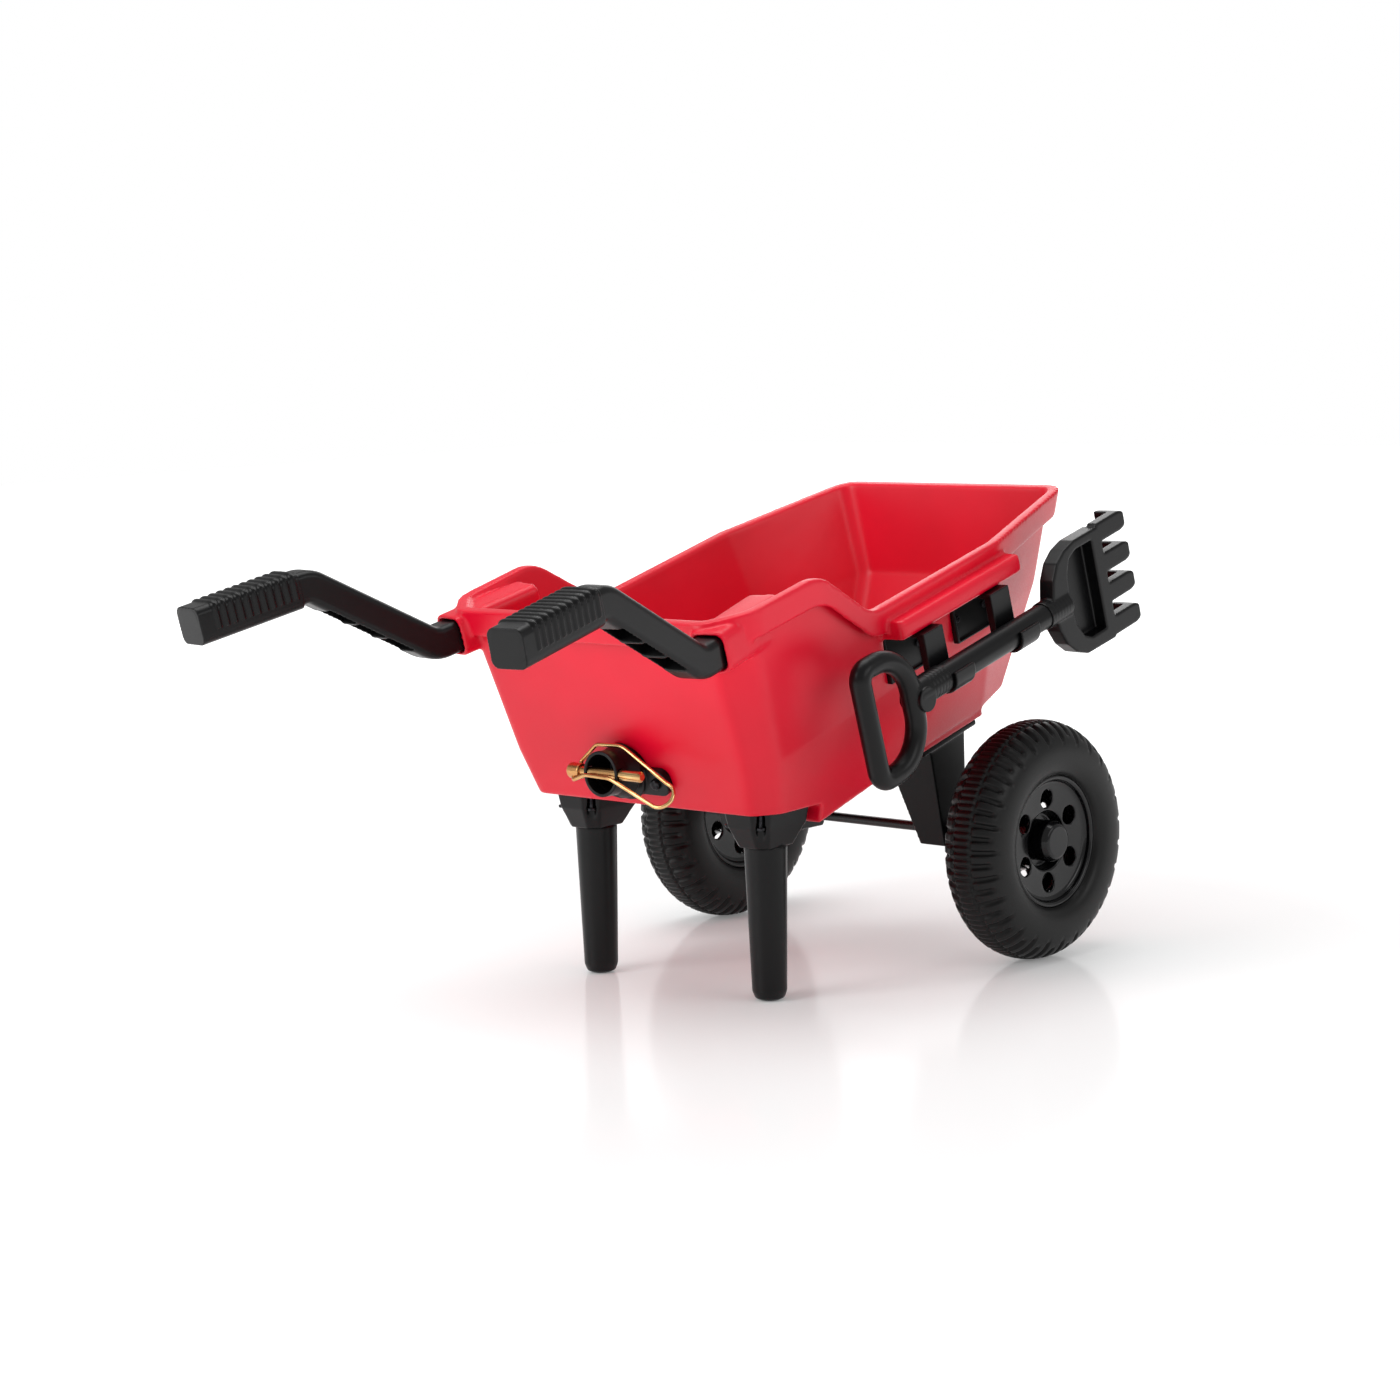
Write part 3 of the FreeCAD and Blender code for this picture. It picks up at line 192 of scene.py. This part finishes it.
def applied(mesh, *steps):
    """The mesh with modifiers applied, each given as (kind, {settings})."""
    holder = bpy.data.objects.new("holder", mesh)
    bpy.context.scene.collection.objects.link(holder)
    for number, (kind, settings) in enumerate(steps):
        step = holder.modifiers.new(f"step_{number}", kind)
        for key, value in settings.items():
            setattr(step, key, value)
    bpy.context.view_layer.update()
    seen = holder.evaluated_get(bpy.context.evaluated_depsgraph_get())
    made = bpy.data.meshes.new_from_object(seen)
    bpy.data.objects.remove(holder)
    return made


def moulded(node, cell_mm, rounds, keep, extra=None):
    """A CAD node's shape, with anything extra merged in and its edges rounded as a mould leaves them.
    More rounds round more; keep is the share of the faces that is kept."""
    mesh = frame["nodes"][node].data.copy()
    build = bmesh.new()
    build.from_mesh(mesh)
    bmesh.ops.remove_doubles(build, verts=build.verts, dist=JOIN_M)
    if extra:
        extra(build)
    build.to_mesh(mesh)
    build.free()
    return applied(mesh, ("REMESH", {"mode": "VOXEL", "voxel_size": cell_mm * MM, "adaptivity": 0.0}),
                   ("SMOOTH", {"factor": 0.5, "iterations": rounds}), ("DECIMATE", {"ratio": keep}))


# Satin red: a deep, even red with broad soft highlights.
tub_plastic = moulded_plastic("blow_moulded_red_polypropylene", "#E0002A", "#CF0022", 0.36, 1.6, 0.05,
                              90.0, 0.36)
new_piece("tub_shell", moulded("tub", 1.6, 20, 0.35), tub_plastic, "chassis", "tub")

# Legs: blow-moulded black tubes that taper to a rounded foot. Each plugs into a moulded cup
# that four screws, driven from below, hold under a front corner of the tub.

DRAWN_LINE_MM = 0.4


def plated(name, colour, tint, roughness, patch_mm):
    """Plated or oxide-blacked steel: metal whose hue and gloss drift, with fine drawn lines."""
    made, tree, shader = surface(name, Metallic=1.0)
    place = add(tree, "ShaderNodeTexCoord").outputs["Object"]
    patch = add(tree, "ShaderNodeTexNoise", {"Vector": place, "Scale": 1 / (patch_mm * MM), "Detail": 2.0})
    tone = add(tree, "ShaderNodeValToRGB", {"Fac": patch.outputs[0]})
    tone.color_ramp.elements[0].position, tone.color_ramp.elements[1].position = 0.38, 0.66
    tone.color_ramp.elements[0].color, tone.color_ramp.elements[1].color = linear(tint), linear(colour)
    tree.links.new(tone.outputs[0], shader.inputs["Base Color"])
    gloss = add(tree, "ShaderNodeMapRange", {"Value": patch.outputs[0], "From Min": 0.3, "From Max": 0.7,
                                             "To Min": roughness + 0.08, "To Max": roughness - 0.05})
    tree.links.new(gloss.outputs[0], shader.inputs["Roughness"])
    lines = add(tree, "ShaderNodeTexNoise", {"Vector": place, "Scale": 1 / (DRAWN_LINE_MM * MM),
                                             "Detail": 1.0})
    bump = add(tree, "ShaderNodeBump", {"Height": lines.outputs[0], "Strength": 0.12, "Distance": 0.01 * MM})
    tree.links.new(bump.outputs[0], shader.inputs["Normal"])
    return made


def finish(material, *nodes):
    """Gives carried-over nodes their material."""
    for node in nodes:
        mesh = frame["nodes"][node].data
        mesh.materials.clear()
        mesh.materials.append(material)


# Satin black with a fine mould grain: reads as near black with soft grey highlights.
black_plastic = moulded_plastic("moulded_black_polypropylene", "#080809", "#050506", 0.33, 0.9, 0.04,
                                60.0, 0.24)
# Black oxide on steel screws: dull, nearly as dark as the plastic round them.
oxide = plated("black_oxide_steel", "#3A3A3D", "#1C1C1E", 0.42, 3.0)
for side in ("left", "right"):
    new_piece(f"leg_tube_{side}", moulded(f"leg_{side}", 1.2, 4, 0.5), black_plastic, "chassis",
              f"leg_{side}")
    new_piece(f"leg_cup_{side}", moulded(f"leg_socket_{side}", 1.0, 7, 0.5), black_plastic, "chassis",
              f"leg_socket_{side}")
finish(oxide, "leg_socket_screws")

# Handles: moulded black arms that plug into the tub's two front sockets. Each cranks up and
# back down to a grip, with a saddle of shingled ribs moulded over the top for the palm.

# Millimetres. The left socket's mouth, then the arm's upper bend and its end, counted from the
# mouth before the arm is splayed.
SOCKET_MOUTH = Vector((-146.97, 170.0, 348.12))
SPLAY = math.radians(7.6)
GRIP_BEND = Vector((-164.0, 0.0, 62.9))
GRIP_END = Vector((-288.2, 0.0, 35.0))
RIBS = 11
RIB_FIRST, RIB_PITCH, RIB_LONG = 20.2, 8.6, 5.6
# Along a rib, from the bend's side: how far it has got, and how far it has drawn in there.
RIB_STATIONS = ((0.0, 0.7), (0.2, 0.0), (0.6, 0.5), (1.0, 2.4))
SADDLE_WIDE, SADDLE_HIGH, SADDLE_LOW = 41.6, 20.2, -6.0
SADDLE_POINTS = 13
SADDLE_SQUARE = 0.45
SHOULDER = 0.42


def rib_saddle(sign):
    """The ribs of one grip, as closed shingles to be merged into the arm."""
    ahead = (GRIP_END - GRIP_BEND).normalized()
    up = Vector((ahead.z, 0.0, -ahead.x))
    arc = [(-1, SADDLE_LOW)]
    for step in range(SADDLE_POINTS):
        angle = math.pi - math.pi * step / (SADDLE_POINTS - 1)
        x = math.copysign(abs(math.cos(angle)) ** SADDLE_SQUARE, math.cos(angle))
        arc.append((x, SADDLE_HIGH * (SHOULDER + (1 - SHOULDER) * math.sin(angle) ** SADDLE_SQUARE)))
    arc.append((1, SADDLE_LOW))

    def ribs(build):
        for count in range(RIBS):
            rings = []
            for share, shrink in RIB_STATIONS:
                middle = GRIP_BEND + ahead * (RIB_FIRST + count * RIB_PITCH + RIB_LONG * share)
                ring = []
                for x, z in arc:
                    spot = middle + up * (z - shrink * (z > 0))
                    spot.y += x * (SADDLE_WIDE / 2 - shrink)
                    spot = Matrix.Rotation(-SPLAY, 3, "Z") @ spot + SOCKET_MOUTH
                    ring.append(build.verts.new((spot.x * MM, spot.y * MM * sign, spot.z * MM)))
                rings.append(ring)
            made = [build.faces.new(rings[0]), build.faces.new(rings[-1][::-1])]
            for here, there in zip(rings, rings[1:]):
                for i in range(len(arc)):
                    j = (i + 1) % len(arc)
                    made.append(build.faces.new((here[i], there[i], there[j], here[j])))
            bmesh.ops.recalc_face_normals(build, faces=made)
    return ribs


for side, sign in (("left", 1), ("right", -1)):
    new_piece(f"handle_arm_{side}", moulded(f"handle_{side}", 0.7, 2, 0.35, rib_saddle(sign)),
              black_plastic, "chassis", f"handle_{side}")
finish(oxide, "handle_screws")

# Tow socket: a moulded black collar and tube, bolted to the front wall through two wings,
# where a tractor's tow peg goes in.

new_piece("tow_collar", moulded("tow_socket", 0.7, 5, 0.5), black_plastic, "chassis",
          "tow_socket")
finish(oxide, "tow_socket_bolts", "tow_socket_nuts")

# Hitch pin and bail: a turned steel pin across the tow socket, and a bent spring-wire bail
# that keeps it in. Both are yellow zinc plated.

# Yellow zinc: pale gold metal that drifts to rose, with small bright highlights.
gold = plated("yellow_zinc_plate", "#EBCB8E", "#CB9560", 0.2, 30.0)
finish(gold, "hitch_pin", "pin_bail")

# Axle brackets: moulded black boxes, open at the back, screwed up under the tub's floor.
# They carry the axle.

for side in ("left", "right"):
    new_piece(f"bracket_{side}", moulded(f"axle_bracket_{side}", 1.2, 4, 0.5), black_plastic, "chassis",
              f"axle_bracket_{side}")
finish(oxide, "bracket_screws")

# Axle: a plain steel rod, painted black, with a moulded spacer, two washers, a wheel bush
# and a nut at each end.

# Black paint on steel: darker and glossier than the plastic.
axle_paint = moulded_plastic("black_axle_paint", "#121213", "#0C0C0D", 0.28, 0.6, 0.02, 30.0, 0.5)
# Bright zinc: cool grey metal.
zinc = plated("bright_zinc_plate", "#C6C8CB", "#9EA2A8", 0.34, 5.0)
finish(axle_paint, "axle")
finish(black_plastic, "axle_spacer_left", "axle_spacer_right", "hub_bush_left", "hub_bush_right")
finish(zinc, "axle_washers", "axle_nuts")

# Tyres: blow-moulded in hard black plastic. A ladder of fine ribs runs round the middle
# between two grooves, with lugs on each shoulder that reach down the side by turns.

AXLE_AT = frame["joints"][0]["pos_m"]
WHEEL_Y = abs(AXLE_AT[1])
LUGS = 54
LUG_STEPS = 12
STEPS = LUGS * LUG_STEPS
# The outside from bead to crown, then the inside, as (radius, distance from the middle), mm.
TYRE_LINE = [(62, 22.9), (66.4, 22.9), (66.6, 27.4), (71, 31.4), (76, 33.2), (81, 33.9), (86, 34),
             (91, 33.7), (95, 33.1), (99, 32.2), (102, 31.1), (104.5, 29.8), (106.8, 28.2), (109, 26.4),
             (110.8, 24.6), (112.3, 22.9), (113.7, 21.1), (115, 19.2), (116.1, 17.3), (117, 15.4),
             (117.8, 13.5), (118.2, 12.3), (118.5, 11.2), (118.8, 10.2), (119, 9.2), (119.4, 7.2),
             (119.7, 4.8), (119.9, 2.4)]
TYRE_INSIDE = [(62, 19), (70.4, 19.2), (71, 25.4), (74, 28.2), (84, 30), (98, 28.4), (106.5, 22.6),
               (111.5, 15.4), (114, 6)]
TREAD_FROM = 98.0
SHOULDER_R = 78.0
LADDER_HALF, GROOVE_HALF = 9.7, 12.2
LADDER_DEEP, GROOVE_DEEP, LUG_DEEP = 2.0, 2.4, 3.8
LONG_LUG, SHORT_LUG, LUG_FADE = 32.4, 29.0, 3.0
SLOT_STEP = 2.5


def smooth_step(low, high, value):
    """Rises smoothly from 0 to 1 between low and high."""
    share = max(0.0, min(1.0, (value - low) / (high - low)))
    return share * share * (3 - 2 * share)


def tread_depth(along, turn):
    """How far the tread is cut in, in millimetres, at a distance from the middle and a step round.
    The two shoulders are half a lug out of step."""
    across = abs(along)
    if across < LADDER_HALF:
        return LADDER_DEEP * (1 - smooth_step(0.8, 1.9, abs(turn % (LUG_STEPS // 2) - SLOT_STEP)))
    if across < GROOVE_HALF:
        return GROOVE_DEEP
    number, step = divmod(turn + (LUG_STEPS // 2 if along > 0 else 0), LUG_STEPS)
    end = LONG_LUG if number % 2 else SHORT_LUG
    fade = 1 - smooth_step(end - LUG_FADE, end, across)
    return LUG_DEEP * fade * (1 - smooth_step(1.7, 2.9, abs(step - SLOT_STEP)))


def tyre_mesh(name, side):
    """One tyre, turned step by step. Each ring is (radius, along, whether treaded, outwards)."""
    rings = []
    for r, along in TYRE_LINE + [(r, -along) for r, along in TYRE_LINE[::-1]]:
        lean = math.atan2(abs(along), r - SHOULDER_R)
        out = (math.cos(lean), math.copysign(math.sin(lean), along))
        rings.append((r, along, r > TREAD_FROM, out))
    rings += [(r, -along, False, (0, 0)) for r, along in TYRE_INSIDE]
    rings += [(r, along, False, (0, 0)) for r, along in TYRE_INSIDE[::-1]]
    build = bmesh.new()
    grid = []
    for turn in range(STEPS):
        angle = 2 * math.pi * turn / STEPS
        column = []
        for r, along, treaded, (out_r, out_y) in rings:
            cut = tread_depth(along, turn) if treaded else 0.0
            radius, y = (r - cut * out_r) * MM, (along - cut * out_y) * MM
            column.append(build.verts.new((AXLE_AT[0] + radius * math.cos(angle), side * (WHEEL_Y + y),
                                           AXLE_AT[2] + radius * math.sin(angle))))
        grid.append(column)
    count = len(rings)
    for turn in range(STEPS):
        here, there = grid[turn], grid[(turn + 1) % STEPS]
        for i in range(count):
            corners = (here[i], here[(i + 1) % count], there[(i + 1) % count], there[i])
            build.faces.new(corners if side > 0 else corners[::-1])
    bmesh.ops.recalc_face_normals(build, faces=build.faces)
    made = bpy.data.meshes.new(name)
    build.to_mesh(made)
    build.free()
    return made


# Hard tyre plastic: a flat black, a little duller than the mouldings.
tyre_plastic = moulded_plastic("blow_moulded_tyre_black", "#0C0C0C", "#070707", 0.4, 1.0, 0.05, 60.0, 0.26)
for side, sign in (("left", 1), ("right", -1)):
    new_piece(f"tyre_ring_{side}", tyre_mesh(f"tyre_ring_{side}", sign), tyre_plastic, f"wheel_{side}",
              f"tyre_{side}")

# Wheel discs: polished black halves, snapped together through the tyre, with a hub cap.

# Black from a polished mould: deep, with small sharp highlights on the lips and the holes.
gloss_black = moulded_plastic("polished_mould_black_polypropylene", "#08080A", "#060607", 0.17, 1.2, 0.015,
                              60.0, 0.34)
for side in ("left", "right"):
    for disc in ("outer", "inner"):
        new_piece(f"disc_{disc}_{side}", moulded(f"wheel_disc_{disc}_{side}", 0.9, 2, 0.4), gloss_black,
                  f"wheel_{side}", f"wheel_disc_{disc}_{side}")
    new_piece(f"cap_{side}", moulded(f"hub_cap_{side}", 0.6, 2, 0.5), gloss_black, f"wheel_{side}",
              f"hub_cap_{side}")

# Tool clips: two black clips, each a shallow tray screwed into a window of the tub's right
# side, with a flat strap down to a hook that the rake's shaft drops into.

for spot in ("front", "rear"):
    new_piece(f"clip_hook_{spot}", moulded(f"tool_clip_{spot}", 0.7, 4, 0.5), black_plastic, "chassis",
              f"tool_clip_{spot}")
finish(oxide, "clip_screws")

# Rake: a black tube with a moulded D-grip pushed on one end and a pan-shaped head with four
# hooked tines on the other. It lies in the two clips.

new_piece("rake_d_grip", moulded("rake_grip", 0.6, 4, 0.5), black_plastic, "rake",
          "rake_grip")
new_piece("rake_pan", moulded("rake_head", 0.8, 16, 0.5), black_plastic, "rake",
          "rake_head")
finish(black_plastic, "rake_shaft")
